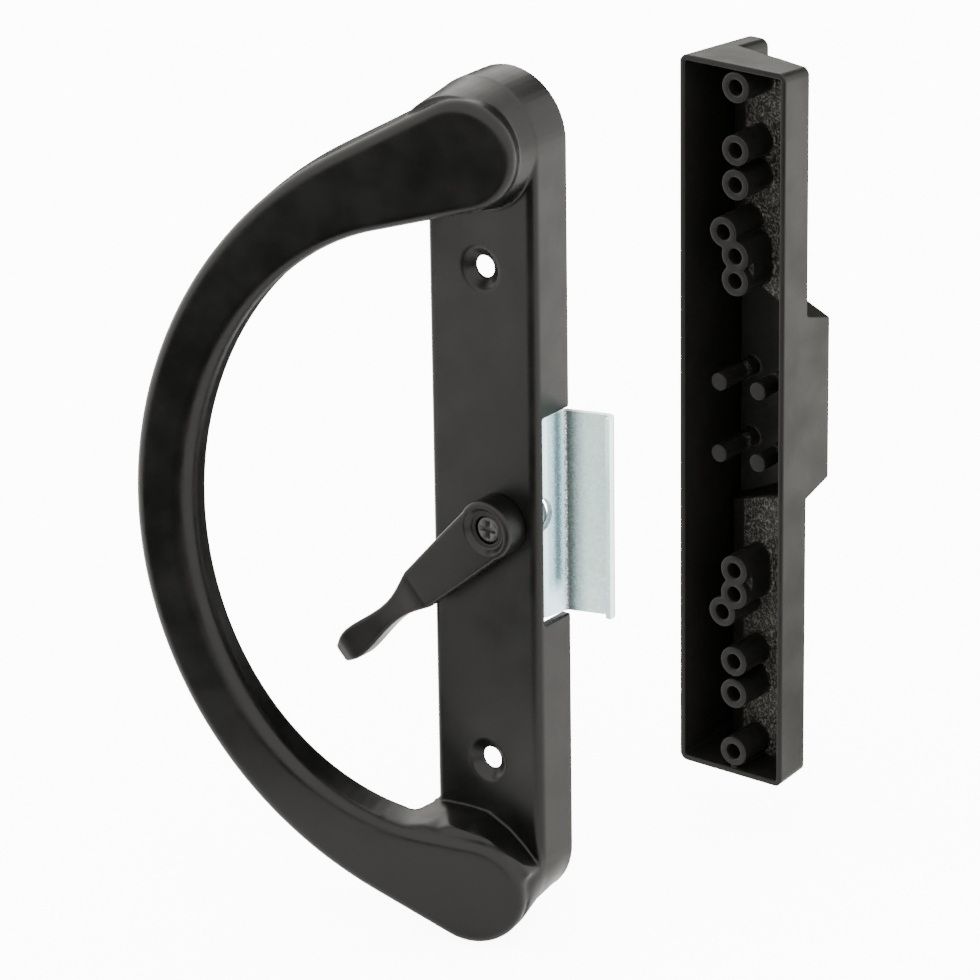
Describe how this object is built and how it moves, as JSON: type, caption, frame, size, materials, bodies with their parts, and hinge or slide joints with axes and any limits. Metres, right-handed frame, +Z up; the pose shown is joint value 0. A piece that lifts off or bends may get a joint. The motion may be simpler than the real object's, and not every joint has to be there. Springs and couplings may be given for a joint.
{
  "type": "sliding door latch",
  "caption": "Sliding patio door latch set: D-shaped inside grip with a thumb lever that slides a bent clamp latch, and a matching hollow outside pull.",
  "frame": {"origin": "midway between the inside handle's two screw holes, on the back of the plate's web", "axes": "+X along the door towards the jamb, +Y into the door, +Z up"},
  "size_m": [0.1094, 0.1468, 0.2147],
  "materials": {
    "black_casting": "satin black baked paint on die-cast zinc alloy",
    "lever_black": "satin black baked paint on die-cast zinc alloy",
    "screw_black": "black coated steel screw",
    "cam_zinc": "plain die-cast zinc, dull grey",
    "spring_steel": "plain spring steel",
    "zinc_sheet": "bright zinc plate with a blue passivation, slightly mottled",
    "washer_zinc": "zinc plated steel",
    "screw_zinc": "zinc plated steel",
    "pull_black": "satin black baked paint on die-cast zinc alloy"
  },
  "bodies": {
    "handle": {"handle_casting": "black_casting", "latch_guide_washers": "washer_zinc", "latch_guide_screws": "screw_zinc", "pull_casting": "pull_black"},
    "lever": {"thumb_lever": "lever_black", "lever_screw": "screw_black", "lever_cam": "cam_zinc", "spring_washer": "spring_steel"},
    "latch": {"latch_plate": "zinc_sheet"}
  },
  "joints": [
    {"name": "lever_turn", "type": "hinge", "parent": "handle", "child": "lever", "pos_m": [0.005, -0.0026, 0], "axis": [0, 1, 0], "range_deg": [0, 80]},
    {"name": "latch_slide", "type": "slide", "parent": "handle", "child": "latch", "axis": [1, 0, 0], "range_m": [0, 0.00772]}
  ],
  "couplings": [
    {"joint": "latch_slide", "follows": "lever_turn", "m_per_rad": 0.005524}
  ]
}
